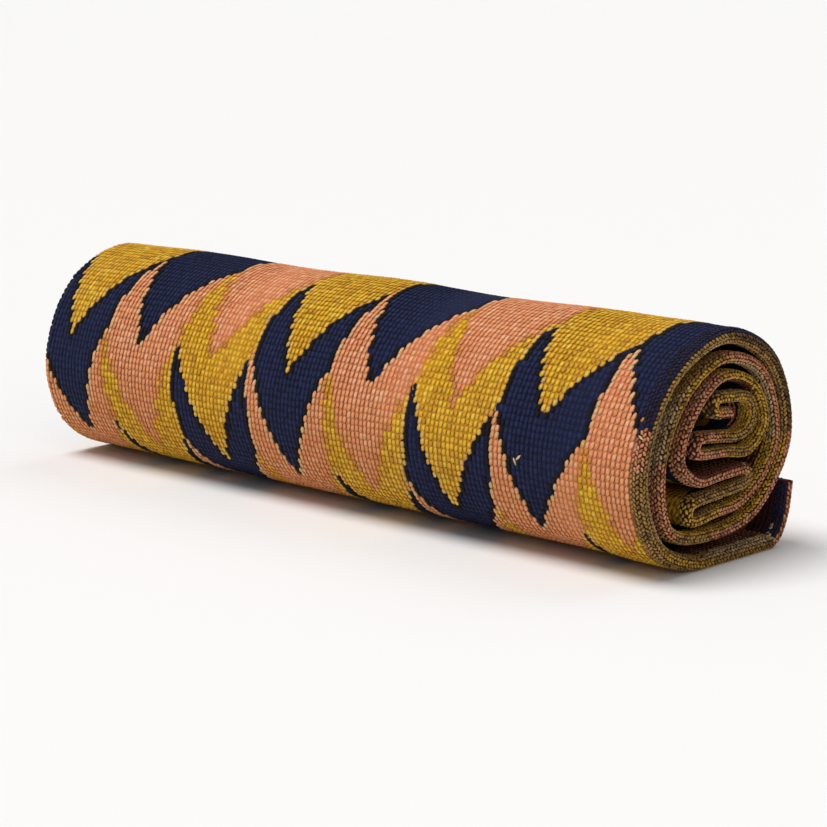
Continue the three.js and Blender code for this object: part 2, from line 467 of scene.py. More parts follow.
def laidOn(arc, across, *more):
    # the places on the cloth, with what else belongs to them, without those past the selvedge
    spot, facing, heading, shows = onSurface(arc, across)
    return [values[shows] for values in (spot, facing, heading, *more)]


def shade(values):
    # screen colours, 0 to 255, as the light values that a material holds
    c = np.asarray(values, float) / 255
    return np.where(c <= 0.04045, c / 12.92, ((c + 0.055) / 1.055) ** 2.4)


dye = {
    "gold": (240, 182, 24), "goldDeep": (214, 154, 20), "goldPale": (246, 200, 60),
    "coral": (246, 158, 108), "coralDeep": (232, 140, 90), "coralPale": (252, 184, 142),
    "navy": (28, 35, 70), "navyDeep": (25, 31, 63), "navyPale": (33, 41, 80),
    "cream": (224, 190, 134), "olive": (194, 148, 70), "maroon": (138, 66, 48), "orange": (222, 138, 62),
    "bronze": (128, 92, 42),
    "outline": (18, 10, 9),
    "brownGround": (60, 33, 20), "maroonGround": (74, 30, 24), "blackGround": (20, 15, 16),
}
dyeDepth = 0.92
dye = {name: dyeDepth * shade(values) for name, values in dye.items()}
# the deep and pale sisters of a colour that has none of its own, and how unevenly a float takes the dye
dyeSpread = {"deep": 0.75, "pale": 1.25, "uneven": 0.04}


def yarnColours(name, count):
    # each float differs a little from the next, as hand-dyed yarn does
    own = dye[name]
    deep = dye.get(name + "Deep", own * dyeSpread["deep"])
    pale = dye.get(name + "Pale", own * dyeSpread["pale"])
    mix = dice.random((count, 1))
    colour = np.where(mix < 0.5, own + (deep - own) * (1 - 2 * mix), own + (pale - own) * (2 * mix - 1) ** 3)
    return colour * (1 + dyeSpread["uneven"] * dice.standard_normal((count, 1)))


flameRise = 9  # mm further on than the front, where a navy flame reaches the folded edge
placeArc["navy flame"] = placeArc["outer front"] + flameRise

# What shows along the folded edge, from each place on the route to the next:
# the floats towards the outside, on the crown and towards the inside, and the ground between them.
edgeColours = [
    ("loose end", "coral", "coral", "navy", "maroonGround"),
    ("outer backLow", "gold", "olive", "cream", "brownGround"),
    ("outer base", "olive", "gold", "olive", "brownGround"),
    ("outer frontLow", "olive", "olive", "cream", "brownGround"),
    ("outer front", "coral", "olive", "cream", "maroonGround"),
    ("navy flame", "navy", "olive", "cream", "brownGround"),
    ("outer frontHigh", "navy", "olive", "cream", "brownGround"),
    ("outer top", "navy", "bronze", "olive", "blackGround"),
    ("outer backHigh", "bronze", "bronze", "olive", "blackGround"),
    ("second back", "maroon", "coral", "gold", "maroonGround"),
    ("second base", "olive", "olive", "gold", "brownGround"),
    ("second frontLow", "coral", "coral", "maroon", "maroonGround"),
    ("second front", "cream", "olive", "olive", "brownGround"),
    ("second frontHigh", "olive", "gold", "maroon", "brownGround"),
    ("second top", "coral", "coral", "cream", "maroonGround"),
    ("third back", "maroon", "coral", "gold", "maroonGround"),
    ("lowFolds 1", "coral", "coral", "gold", "maroonGround"),
    ("lowFolds 1 middle", "gold", "gold", "olive", "brownGround"),
    ("lowFolds 2", "olive", "olive", "cream", "brownGround"),
    ("lowFolds 3", "coral", "coral", "maroon", "maroonGround"),
    ("inner front", "coral", "coral", "maroon", "maroonGround"),
    ("inner top", "gold", "gold", "maroon", "brownGround"),
    ("inner backHigh", "olive", "gold", "gold", "brownGround"),
    ("coreFolds 1", "gold", "olive", "gold", "brownGround"),
    ("coreFolds 1 middle", "coral", "coral", "olive", "maroonGround"),
    ("coreFolds 2 middle", "gold", "olive", "olive", "brownGround"),
    ("coreFolds 3", "olive", "gold", "olive", "brownGround"),
    ("coreFolds 4", "coral", "coral", "maroon", "maroonGround"),
]


startSlack = 0.01  # mm, so that a place right on a start belongs to its section


def edgeSection(arc):
    # which row of edgeColours a place belongs to
    starts = np.array([placeArc[row[0]] for row in edgeColours])
    return np.maximum(np.searchsorted(starts, arc + startSlack) - 1, 0)


def flamesAround(arc, across):
    # the flame that a float belongs to, and those of its four neighbours
    x = patternAt(arc, across)
    pitch, repeat = yarn["pitch"], yarn["repeat"]
    sides = [(pitch, 0), (-pitch, 0), (0, repeat), (0, -repeat)]
    return flameAt(x, downAt(arc)), np.array([flameAt(x + dx, downAt(arc + ds)) for dx, ds in sides])


def gridOf(columns, fromArc, toArc, repeat=yarn["repeat"], stagger=0.0, pitch=yarn["pitch"]):
    # places for floats in level rows, or with every other column further on by a share of a float
    arcs, across = [], []
    for column in columns:
        rows = np.arange(fromArc + repeat * stagger * (column % 2), toArc, repeat)
        arcs.append(rows)
        across.append(np.full_like(rows, (column + 0.5) * pitch))
    arcs, across = np.concatenate(arcs), np.concatenate(across)
    arcs = arcs + yarn["jitterAlong"] * dice.standard_normal(len(arcs))
    return arcs, across + yarn["jitterAcross"] * dice.standard_normal(len(arcs))


paint = {
    # painted shade and bounced light: coral turns more orange further down the front
    "coralShadeLow": {"most": 0.35, "from": 34, "to": 62},  # more orange, so far down the front
    "fleckShare": 0.14, "fleckTint": (0.82, 0.74, 0.7),  # of the gold floats, which are browner
    "blendShare": 0.5,  # of the floats where gold and coral meet, which are orange
    # how much cream is in the floats beside the navy
    "creamLeast": 0.1, "creamMore": 0.5, "creamOnCoral": 1.3, "creamOnGold": 0.8,
    # how light the navy's outline is, against its own dye
    "outlineLeast": 0.8, "outlineMore": 0.5,
}


def paintByFlame(arc, across):
    # a colour for each float by the flame that it is in and those beside it, and which flame that is
    gold, navy, coral = (flame["order"].index(name) for name in ("gold", "navy", "coral"))
    own, around = flamesAround(arc, across)
    count = len(arc)
    colours = np.zeros((count, 3))
    for index, name in enumerate(flame["order"]):
        colours = np.where((own == index)[:, None], yarnColours(name, count), colours)
    # painted shade and bounced light: the coral floats grow more orange further down the front
    turns = paint["coralShadeLow"]
    paintedShadeLow = turns["most"] * smoothStep(downAt(arc), turns["from"], turns["to"]) * (own == coral)
    colours = colours + (dye["orange"] - colours) * paintedShadeLow[:, None]
    fleck = (own == gold) & (dice.random(count) < paint["fleckShare"])
    colours = np.where(fleck[:, None], colours * paint["fleckTint"], colours)
    besideNavy = (around == navy).any(axis=0) & (own != navy)
    besideOther = (around != navy).any(axis=0) & (own == navy)
    meets = ((around == gold).any(axis=0) & (own == coral)) | ((around == coral).any(axis=0) & (own == gold))
    blends = meets & (dice.random(count) < paint["blendShare"])
    colours = np.where(blends[:, None], yarnColours("orange", count), colours)
    cream = paint["creamLeast"] + paint["creamMore"] * dice.random((count, 1)) ** 2
    cream = cream * np.where(own == coral, paint["creamOnCoral"], paint["creamOnGold"])[:, None]
    colours = np.where(besideNavy[:, None], colours * (1 - cream) + dye["cream"] * cream, colours)
    outline = dye["outline"] * (paint["outlineLeast"] + paint["outlineMore"] * dice.random((count, 1)))
    return np.where(besideOther[:, None], outline, colours), own


halfColumns = int(roll["clothWidth"] / 2 / yarn["pitch"])
outerTurnEnds = placeArc["second back"] + yarn["pastOuterTurn"]
innerEnd = clothLength - yarn["bareEnd"]


def facePoints(kind):
    # the floats of one colour on the outer ply of the outer turn
    arc, across = gridOf(range(-halfColumns, -yarn["foldColumns"]), yarn["bareStart"], outerTurnEnds)
    colours, own = paintByFlame(arc, across)
    wanted = own == flame["order"].index(kind)
    return laidOn(arc[wanted], across[wanted], colours[wanted])


def swung(facing, heading, angle):
    # the heading, turned about the way that the float faces
    return heading * np.cos(angle)[:, None] + np.cross(facing, heading) * np.sin(angle)[:, None]


# painted shade on the folded edge: its floats are darker, browner and less bright than the faces; some
# floats there are also darker at random
edgeShadeAndDarkFloats = {"keeps": 0.66, "warmth": 0.14, "warmthTint": (1.5, 0.9, 0.6), "darkShare": 0.2, "dark": 0.55}


# painted shade: keeps part of a colour and adds a warm brown share of its mean
def paintEdgeShade(colours):
    warmth = edgeShadeAndDarkFloats["warmth"] * colours.mean(axis=1, keepdims=True) * np.array(edgeShadeAndDarkFloats["warmthTint"])
    return edgeShadeAndDarkFloats["keeps"] * colours + warmth


def braidPoints():
    # the fine floats on the folded edge, which lean one way and the other as in a braid
    each = round(yarn["foldColumns"] * yarn["pitch"] / yarn["edgePitch"])
    arc, across = gridOf(range(-each, each), yarn["bareStart"], innerEnd, yarn["edgeRepeat"],
                         yarn["edgeStagger"], yarn["edgePitch"])
    section = edgeSection(arc + yarn["edgeMingle"] * dice.standard_normal(len(arc)))
    side = np.where(across < -yarn["crown"], 0, np.where(across > yarn["crown"], 2, 1))
    colours = np.zeros((len(arc), 3))
    for index, row in enumerate(edgeColours):
        for which, name in enumerate(row[1:-1]):
            here = (section == index) & (side == which)
            plain = yarnColours(name, int(here.sum()))
            # the folded edge's floats, except the navy ones, get painted shade
            colours[here] = plain if name == "navy" else paintEdgeShade(plain)
    column = np.round(across / yarn["edgePitch"] - 0.5)
    return arc, across, colours, np.where(column % 2 == 0, 1, -1) * yarn["braid"]


def deepPoints():
    # the plain floats beside the folded edge, on the faces inside the roll
    first, past = yarn["foldColumns"], yarn["foldColumns"] + yarn["besideColumns"]
    arc, across = gridOf([*range(-past, -first), *range(first, past)], yarn["bareStart"], innerEnd)
    inside = (across > 0) | (arc > outerTurnEnds)
    arc, across = arc[inside], across[inside]
    colours, own = paintByFlame(arc, across)
    navy = (arc < placeArc["outer backLow"]) | (arc > placeArc["inner top"])
    colours[navy] = yarnColours("navy", int(navy.sum()))
    return arc, across, colours * yarn["deepShade"], np.zeros(len(arc))


def edgePoints():
    # all the floats on and beside the folded edge
    arc, across, colours, braid = (np.concatenate(both) for both in zip(braidPoints(), deepPoints()))
    dark = dice.random(len(arc)) < edgeShadeAndDarkFloats["darkShare"]
    colours = np.where(dark[:, None], colours * edgeShadeAndDarkFloats["dark"], colours)
    spot, facing, heading, colours, braid = laidOn(arc, across, colours, braid)
    return spot, facing, swung(facing, heading, braid), colours


# Stray threads on the outer face: x along the roll and down from the top, in mm, and how far they lean.
strays = [(70.6, 51.8, 0.5), (71.9, 50.6, -0.7), (109.6, 40.4, 1.2)]
strayLift = 0.4  # above the cloth


def strayPoints():
    x, down, lean = np.array(strays).T
    arc = placeArc["outer top"] - down / flame["stretch"]
    across = x - patternAt(arc, np.zeros_like(x))
    spot, facing, heading = laidOn(arc, across)
    colours = np.tile(dye["cream"], (len(x), 1))
    return spot + facing * strayLift * mm, facing, swung(facing, heading, lean), colours


# mm in from the edge, how far out from the slit as a share of the ply, how far the floats face outwards,
# and mm by which the pattern goes on past the edge
selvedge = {"inset": 0.1, "share": 0.6, "tilt": 0.35, "wrap": 1}


def selvedgePoints():
    # one row of floats round the far edge of each ply
    laid = []
    for ply in (1, -1):
        arc, column = gridOf([0], yarn["bareStart"], innerEnd)
        near, far = reachOf(arc)
        x = far + selvedge["inset"]
        along = alongAt(arc, x)
        spot, outward = placed(arc, x, ply * halfAt(arc, along) * selvedge["share"])
        facing = np.column_stack([np.full_like(arc, -1), selvedge["tilt"] * ply * outward])
        heading = np.column_stack([np.zeros_like(arc), headingAt(arc, along)])
        colours, own = paintByFlame(arc, -ply * (near - far + selvedge["wrap"]))
        laid.append((spot, facing, heading, colours))
    return [np.concatenate(both) for both in zip(*laid)]


def pointsPiece(name, spot, facing, heading, colours, thickness):
    # one vertex for each float, with the way that it faces and heads
    spot[:, 2] = np.maximum(spot[:, 2], thickness * 0.5 * mm)
    mesh = bpy.data.meshes.new(name)
    mesh.from_pydata(spot.tolist(), [], [])
    keepOn(mesh, "FLOAT_VECTOR", "facing", facing)
    keepOn(mesh, "FLOAT_VECTOR", "heading", heading)
    keepOn(mesh, "FLOAT_COLOR", "yarnColour", np.clip(colours, 0, 1))
    return addToScene(name, mesh)


def addNode(tree, kind, settings=None, **inputs):
    made = tree.nodes.new(kind)
    for key, value in (settings or {}).items():
        setattr(made, key, value)
    for key, value in inputs.items():
        feed(tree, value, made.inputs[key.replace("_", " ")])
    return made


def feed(tree, value, socket):
    if isinstance(value, bpy.types.NodeSocket):
        tree.links.new(value, socket)
    else:
        socket.default_value = value


def maths(tree, operation, *values):
    made = tree.nodes.new("ShaderNodeMath")
    made.operation = operation
    for socket, value in zip(made.inputs, values):
        feed(tree, value, socket)
    return made.outputs[0]


def addSocket(tree, name, kind, default=None, inOut="INPUT"):
    made = tree.interface.new_socket(name, in_out=inOut, socket_type="NodeSocket" + kind)
    if default is not None:
        made.default_value = default


def storeOnFloat(tree, geometry, name, value):
    # a number for each point of the float, which its material reads
    return addNode(tree, "GeometryNodeStoreNamedAttribute", {"data_type": "FLOAT"},
                   Geometry=geometry, Name=name, Value=value).outputs[0]


def singleFloat(tree, given):
    # one float, 1 long and 1 wide, along X and arched upwards: a tube that closes to a point at both ends
    line = addNode(tree, "GeometryNodeCurvePrimitiveLine", Start=(-0.5, 0, 0), End=(0.5, 0, 0))
    steps = addNode(tree, "GeometryNodeResampleCurve", Curve=line.outputs[0], Count=given["Steps"])
    share = addNode(tree, "GeometryNodeSplineParameter").outputs["Factor"]
    kept = storeOnFloat(tree, steps.outputs[0], "alongFloat", share)
    fullWave = maths(tree, "SINE", maths(tree, "MULTIPLY", share, 2 * math.pi))
    halfWave = maths(tree, "SINE", maths(tree, "MULTIPLY", share, math.pi))
    bent = addNode(tree, "ShaderNodeCombineXYZ", Y=maths(tree, "MULTIPLY", fullWave, given["S bend"]),
                   Z=maths(tree, "MULTIPLY", halfWave, given["Arch"]))
    shaped = addNode(tree, "GeometryNodeSetPosition", Geometry=kept, Offset=bent.outputs[0])
    fromMiddle = maths(tree, "ABSOLUTE", maths(tree, "MULTIPLY_ADD", share, 2.0, -1.0))
    narrows = maths(tree, "POWER", fromMiddle, given["Fullness"])
    fat = maths(tree, "MULTIPLY", maths(tree, "SUBTRACT", 1.0, narrows), 0.5)
    ring = addNode(tree, "GeometryNodeCurvePrimitiveCircle", Resolution=given["Sides"], Radius=1.0)
    tube = addNode(tree, "GeometryNodeCurveToMesh", Curve=shaped.outputs[0],
                   Profile_Curve=ring.outputs[0], Scale=fat)
    closed = addNode(tree, "GeometryNodeMergeByDistance", Geometry=tube.outputs[0], Distance=pointCloses)
    place = tree.nodes.new("GeometryNodeInputPosition").outputs[0]
    level = addNode(tree, "ShaderNodeSeparateXYZ", Vector=place).outputs["Z"]
    levelled = storeOnFloat(tree, closed.outputs[0], "aboveGround", level)
    sized = addNode(tree, "ShaderNodeCombineXYZ", X=given["Float length"], Y=given["Float width"],
                    Z=given["Float height"])
    return addNode(tree, "GeometryNodeTransform", Geometry=levelled, Scale=sized.outputs[0]).outputs[0]


def floatTurn(tree, given):
    # each float faces and heads as its point says, and leans a little more or less
    facing, heading = (
        addNode(tree, "GeometryNodeInputNamedAttribute", {"data_type": "FLOAT_VECTOR"}, Name=name).outputs[0]
        for name in ("facing", "heading"))
    lie = addNode(tree, "FunctionNodeAxesToRotation", {"primary_axis": "Z", "secondary_axis": "X"},
                  Primary_Axis=facing, Secondary_Axis=heading)
    noise = addNode(tree, "FunctionNodeRandomValue", {"data_type": "FLOAT"},
                    Min=-1.0, Max=1.0, Seed=given["Seed"])
    lean = maths(tree, "MULTIPLY_ADD", noise.outputs["Value"], given["Lean spread"], given["Lean"])
    spin = addNode(tree, "FunctionNodeAxisAngleToRotation", Axis=(0, 0, 1), Angle=lean)
    return addNode(tree, "FunctionNodeRotateRotation", {"rotation_space": "LOCAL"},
                   Rotation=lie.outputs[0], Rotate_By=spin.outputs[0]).outputs[0]


def floatScale(tree, given):
    # each float is a little longer, wider or higher than the next
    noise = addNode(tree, "FunctionNodeRandomValue", {"data_type": "FLOAT_VECTOR"},
                    Seed=maths(tree, "ADD", given["Seed"], 1.0))
    for socket in noise.inputs:
        if socket.type == "VECTOR":
            socket.default_value = (-1, -1, -1) if socket.name == "Min" else (1, 1, 1)
    spread = addNode(tree, "ShaderNodeVectorMath", {"operation": "SCALE"}, Vector=noise.outputs[0],
                     Scale=given["Size spread"])
    scale = addNode(tree, "ShaderNodeVectorMath", {"operation": "ADD"})
    feed(tree, spread.outputs[0], scale.inputs[0])
    scale.inputs[1].default_value = (1, 1, 1)
    return scale.outputs[0]


# what the tree's inputs are until a piece sets them, with the sizes in m
floatDefaults = {
    "Float length": 0.002, "Float width": 0.001, "Float height": 0.0006, "Lean": 0.2, "Lean spread": 0.08,
    "S bend": 0.12, "Arch": 0.1, "Fullness": 2.4, "Size spread": 0.1, "Sides": 5, "Steps": 5, "Seed": 1,
}
pointCloses = 0.02  # share of a float's length within which its pointed ends close


def floatTree():
    tree = bpy.data.node_groups.new("yarn floats", "GeometryNodeTree")
    addSocket(tree, "Points", "Geometry")
    for name, value in floatDefaults.items():
        addSocket(tree, name, "Int" if isinstance(value, int) else "Float", value)
    addSocket(tree, "Yarn", "Material")
    addSocket(tree, "Floats", "Geometry", inOut="OUTPUT")
    given = tree.nodes.new("NodeGroupInput").outputs
    laid = addNode(tree, "GeometryNodeInstanceOnPoints", Points=given["Points"],
                   Instance=singleFloat(tree, given), Rotation=floatTurn(tree, given),
                   Scale=floatScale(tree, given))
    real = addNode(tree, "GeometryNodeRealizeInstances", Geometry=laid.outputs[0])
    smooth = addNode(tree, "GeometryNodeSetShadeSmooth", Geometry=real.outputs[0])
    dyed = addNode(tree, "GeometryNodeSetMaterial", Geometry=smooth.outputs[0], Material=given["Yarn"])
    tree.links.new(dyed.outputs[0], tree.nodes.new("NodeGroupOutput").inputs[0])
    return tree


layFloats = floatTree()

# each kind of float: its length, width and height in mm, and how it lies, with its lean in radians
floatKinds = {
    "gold": {"size": (2.2, 1.52, 0.5), "Lean": -0.24, "Lean spread": 0.12, "S bend": 0.04, "Arch": 0.2,
             "Fullness": 1.9, "Size spread": 0.12, "Seed": 11},
    "coral": {"size": (2.5, 1.48, 0.5), "Lean": -0.16, "Lean spread": 0.08, "S bend": 0.1, "Arch": 0.2,
              "Fullness": 1.8, "Size spread": 0.1, "Seed": 12},
    "navy": {"size": (1.95, 1.52, 0.26), "Lean": -0.06, "Lean spread": 0.08, "S bend": 0.0, "Arch": 0.2,
             "Size spread": 0.1, "Seed": 13},
    "edge": {"size": (1.6, 0.86, 0.46), "Lean": 0.0, "Lean spread": 0.12, "S bend": 0.08, "Arch": 0.2,
             "Size spread": 0.12, "Steps": 4, "Seed": 14},
    "selvedge": {"size": (1.6, 0.86, 0.46), "Lean": 0.05, "Lean spread": 0.1, "S bend": 0.05, "Arch": 0.25,
                 "Size spread": 0.12, "Seed": 15},
    "stray": {"size": (1.7, 0.24, 0.22), "Lean": 0.0, "Lean spread": 0.0, "S bend": 0.9, "Arch": 0.8,
              "Size spread": 0.1, "Steps": 9, "Seed": 16},
}


def weave(name, points, kind, material):
    # lays a float on every point, and keeps the result as a plain mesh with its own map
    length, width, height = floatKinds[kind]["size"]
    piece = pointsPiece(name, *points, height)
    count = len(piece.data.vertices)
    laying = piece.modifiers.new("lay floats", "NODES")
    laying.node_group = layFloats
    values = {"Float length": length * mm, "Float width": width * mm, "Float height": height * mm,
              "Yarn": material, **floatKinds[kind]}
    for item in layFloats.interface.items_tree:
        if item.in_out == "INPUT" and item.name in values:
            laying[item.identifier] = values[item.name]
    ready = piece.evaluated_get(bpy.context.evaluated_depsgraph_get())
    mesh = bpy.data.meshes.new_from_object(ready)
    piece.modifiers.remove(laying)
    piece.data = mesh
    mesh.name = name
    pressFlat(mesh)
    for spare in ("facing", "heading"):
        if spare in mesh.attributes:
            mesh.attributes.remove(mesh.attributes[spare])
    addFloatMap(mesh, count)
    triangles = sum(len(face.vertices) - 2 for face in mesh.polygons)
    print(name + ":", count, "floats,", triangles, "triangles")
    return piece


def placesOf(mesh):
    places = np.empty(len(mesh.vertices) * 3, np.float32)
    mesh.vertices.foreach_get("co", places)
    return places.reshape(-1, 3)


pressedBelow = 0.25  # mm above the table


def pressFlat(mesh):
    # what lies on the table is pressed against it
    places = placesOf(mesh)
    low = pressedBelow * mm
    height = places[:, 2]
    places[:, 2] = np.where(height < low, low * np.exp(np.minimum(height / low - 1, 0)), height)
    mesh.vertices.foreach_set("co", places.ravel())
    mesh.update()


# shares of a float's cell: where it starts, where its upper and its lower faces do, and how far they go
floatCell = {"left": 0.04, "wide": 0.92, "upperFrom": 0.52, "lowerFrom": 0.03, "tall": 0.45}


def addFloatMap(mesh, count):
    # each float has a cell of the map: its upper faces above, its lower ones below
    places = placesOf(mesh)
    each, faces = len(mesh.vertices) // count, len(mesh.polygons) // count
    corner = np.empty(len(mesh.loops), int)
    mesh.loops.foreach_get("vertex_index", corner)
    corners = len(corner) // count
    own = places[:each].astype(float)
    own = own - own.mean(axis=0)
    lengthways, sideways, upwards = np.linalg.svd(own, full_matrices=False)[2]
    flat = np.column_stack([own @ lengthways, own @ sideways])
    flat = (flat - flat.min(axis=0)) / (flat.max(axis=0) - flat.min(axis=0))
    template = np.empty((corners, 2))
    for face in list(mesh.polygons)[:faces]:
        upper = Vector(upwards.tolist()).dot(face.normal) > 0
        start = floatCell["upperFrom"] if upper else floatCell["lowerFrom"]
        for index in range(face.loop_start, face.loop_start + face.loop_total):
            u, v = flat[corner[index]]
            template[index] = floatCell["left"] + floatCell["wide"] * u, start + floatCell["tall"] * v
    side = math.ceil(math.sqrt(count))
    cell = np.arange(count)
    origin = np.column_stack([cell % side, cell // side]) / side
    flatMap = mesh.uv_layers.new(name="OFBake")
    whole = (origin[:, None, :] + template[None] / side).reshape(-1, 2)
    flatMap.data.foreach_set("uv", whole.astype(np.float32).ravel())


def group(name, inputs, outputs):
    # a shader group of plain numbers, from its inputs with their values and the names of its outputs
    tree = bpy.data.node_groups.new(name, "ShaderNodeTree")
    for key, value in inputs.items():
        addSocket(tree, key, "Float", value)
    for key in outputs:
        addSocket(tree, key, "Float", inOut="OUTPUT")
    return tree, tree.nodes.new("NodeGroupInput").outputs, tree.nodes.new("NodeGroupOutput").inputs


def smoothRange(tree, value, low, high, toLow=0.0, toHigh=1.0):
    # the same as smoothStep, in nodes
    return addNode(tree, "ShaderNodeMapRange", {"interpolation_type": "SMOOTHSTEP"}, Value=value,
                   From_Min=low, From_Max=high, To_Min=toLow, To_Max=toHigh).outputs["Result"]


def mixColour(tree, share, first, second, blend="MIX"):
    # sockets 0, 6 and 7 are the node's share and its two colours, and output 2 is its colour
    made = addNode(tree, "ShaderNodeMix", {"data_type": "RGBA", "blend_type": blend})
    for socket, value in zip((made.inputs[0], made.inputs[6], made.inputs[7]), (share, first, second)):
        if isinstance(value, np.ndarray):
            value = (*value.tolist(), 1)
        feed(tree, value, socket)
    return made.outputs[2]


def flameGroup():
    # the same formula as flameAt, for the ground between the floats
    tree, given, out = group("flame pattern", {"Along roll": 0, "Down": 0}, ("Navy", "Coral"))
    x, down = given["Along roll"], given["Down"]
    above = maths(tree, "MAXIMUM", maths(tree, "SUBTRACT", flame["tip"], down), 0.0)
    below = maths(tree, "MAXIMUM", maths(tree, "SUBTRACT", down, flame["tip"]), 0.0)
    leanBelow = maths(tree, "MULTIPLY", maths(tree, "MULTIPLY", below, flame["leanBelow"]),
                      maths(tree, "SUBTRACT", x, flame["leanFrom"]))
    lean = maths(tree, "SUBTRACT", maths(tree, "MULTIPLY", above, flame["leanAbove"]), leanBelow)
    shifted = maths(tree, "MULTIPLY_ADD", maths(tree, "SUBTRACT", x, lean), 1 / flame["column"],
                    0.5 - flame["firstColumn"] / flame["column"])
    column = maths(tree, "FLOOR", shifted)
    fromMiddle = maths(tree, "SUBTRACT", maths(tree, "SUBTRACT", shifted, column), 0.5)
    side = maths(tree, "MULTIPLY", maths(tree, "ABSOLUTE", fromMiddle), 2.0)
    sinks = maths(tree, "MAXIMUM", maths(tree, "SUBTRACT", x, flame["sinksFrom"]), 0.0)
    rise = maths(tree, "MULTIPLY_ADD", sinks, -flame["apexSinks"], flame["tip"] - flame["apex"])
    height = maths(tree, "ADD", maths(tree, "SUBTRACT", down, flame["tip"]),
                   maths(tree, "MULTIPLY", side, rise))
    deep = maths(tree, "MULTIPLY_ADD", side, flame["apexStep"] - flame["tipStep"], flame["tipStep"])
    step = maths(tree, "MAXIMUM", maths(tree, "CEIL", maths(tree, "DIVIDE", height, deep)), 0.0)
    index = maths(tree, "FLOORED_MODULO", maths(tree, "ADD", column, step), len(flame["order"]))
    for name in ("navy", "coral"):
        own = maths(tree, "COMPARE", index, flame["order"].index(name), 0.5)
        tree.links.new(own, out[name.title()])
    return tree


# how narrow and how short a grain of the weave is, and where its colour and its height fade out
grain = {"narrow": 4.6, "short": 3.4, "colourEnds": 1.02, "colourFull": 0.72, "heightEnds": 1.1}


def weaveGroup():
    # brick order of floats, as bump and colour where no real yarn is laid
    inputs = {"Across": 0, "Along": 0, "Pitch": yarn["pitch"], "Repeat": yarn["repeat"]}
    tree, given, out = group("woven yarn", inputs, ("Float", "Height"))
    u = maths(tree, "DIVIDE", given["Across"], given["Pitch"])
    column = maths(tree, "FLOOR", u)
    v = maths(tree, "MULTIPLY_ADD", maths(tree, "FLOORED_MODULO", column, 2.0), 0.5,
              maths(tree, "DIVIDE", given["Along"], given["Repeat"]))
    du = maths(tree, "SUBTRACT", maths(tree, "FRACT", u), 0.5)
    dv = maths(tree, "SUBTRACT", maths(tree, "FRACT", v), 0.5)
    sideways = maths(tree, "MULTIPLY", maths(tree, "MULTIPLY", du, du), grain["narrow"])
    lengthways = maths(tree, "MULTIPLY", maths(tree, "MULTIPLY", dv, dv), grain["short"])
    far = maths(tree, "SQRT", maths(tree, "ADD", sideways, lengthways))
    tree.links.new(smoothRange(tree, far, grain["colourEnds"], grain["colourFull"]), out["Float"])
    tree.links.new(smoothRange(tree, far, grain["heightEnds"], 0.0), out["Height"])
    return tree


# endPower and the heights below place painted shade at a float's ends and sides and a painted highlight on
# its back
fibres = {
    "endPower": 4.0,  # how near its ends a float darkens
    "streak": 0.5, "streakFrom": 0.77,  # how much lighter or darker its fibres are
    "shadedBelow": 0.1, "clearAbove": 0.7,  # heights on a float, between which its sides grow lighter
    "shineFrom": 0.42, "shineTo": 0.7,  # heights between which its back begins to shine
    "wearFrom": 0.4, "wearTo": 0.68,  # of the noise that places the worn patches
}


def lightAndWearGroup():
    # fibres along a float, painted shade at its ends and sides, a painted highlight on its back, and the
    # wear of a handled cloth
    inputs = {"Along float": 0.5, "Above ground": 0.6, "Fibre scale": 3200, "End shade": 0.45,
              "Side shade": 0.5, "Back shine": 0.2, "Wear scale": 30}
    tree, given, out = group("yarn finish", inputs, ("Tone", "Shine", "Fibre height", "Wear"))
    place = tree.nodes.new("ShaderNodeTexCoord").outputs["Object"]
    fibre = addNode(tree, "ShaderNodeTexNoise", Vector=place, Scale=given["Fibre scale"], Detail=2.0)
    fromMiddle = maths(tree, "ABSOLUTE", maths(tree, "MULTIPLY_ADD", given["Along float"], 2.0, -1.0))
    ends = maths(tree, "MULTIPLY", maths(tree, "POWER", fromMiddle, fibres["endPower"]), given["End shade"])
    streak = maths(tree, "MULTIPLY_ADD", fibre.outputs[0], fibres["streak"], fibres["streakFrom"])
    sides = smoothRange(tree, given["Above ground"], fibres["shadedBelow"], fibres["clearAbove"],
                        given["Side shade"], 1.0)
    crest = smoothRange(tree, given["Above ground"], fibres["shineFrom"], fibres["shineTo"])
    shine = maths(tree, "MULTIPLY", crest, given["Back shine"])
    shaded = maths(tree, "MULTIPLY", maths(tree, "SUBTRACT", 1.0, ends), sides)
    patches = addNode(tree, "ShaderNodeTexNoise", Vector=place, Scale=given["Wear scale"], Detail=3.0)
    tree.links.new(maths(tree, "MULTIPLY", shaded, streak), out["Tone"])
    tree.links.new(maths(tree, "MULTIPLY", shine, streak), out["Shine"])
    tree.links.new(fibre.outputs[0], out["Fibre height"])
    tree.links.new(smoothRange(tree, patches.outputs[0], fibres["wearFrom"], fibres["wearTo"]), out["Wear"])
    return tree


flamePattern, wovenYarn, yarnLightAndWear = flameGroup(), weaveGroup(), lightAndWearGroup()


def fromMesh(tree, name, output="Fac"):
    # what keepOn or the float's tree has stored by that name
    return addNode(tree, "ShaderNodeAttribute", {"attribute_name": name}).outputs[output]


def placeGroup(tree, made, **inputs):
    return addNode(tree, "ShaderNodeGroup", {"node_tree": made}, **inputs).outputs


def emptyMaterial(name):
    made = bpy.data.materials.new(name)
    made.use_nodes = True
    made.node_tree.nodes.clear()
    return made, made.node_tree


clothShine = {"sheenRoughness": 0.45, "specular": 0.15}


def finishMaterial(tree, colour, roughness, height, look):
    bump = addNode(tree, "ShaderNodeBump", Strength=look["bump"], Distance=look["bumpDepth"] * mm,
                   Height=height)
    shader = addNode(tree, "ShaderNodeBsdfPrincipled", Base_Color=colour, Roughness=roughness,
                     Normal=bump.outputs[0], Sheen_Weight=look["sheen"],
                     Sheen_Roughness=clothShine["sheenRoughness"], Specular_IOR_Level=clothShine["specular"])
    tree.links.new(shader.outputs[0], tree.nodes.new("ShaderNodeOutputMaterial").inputs[0])


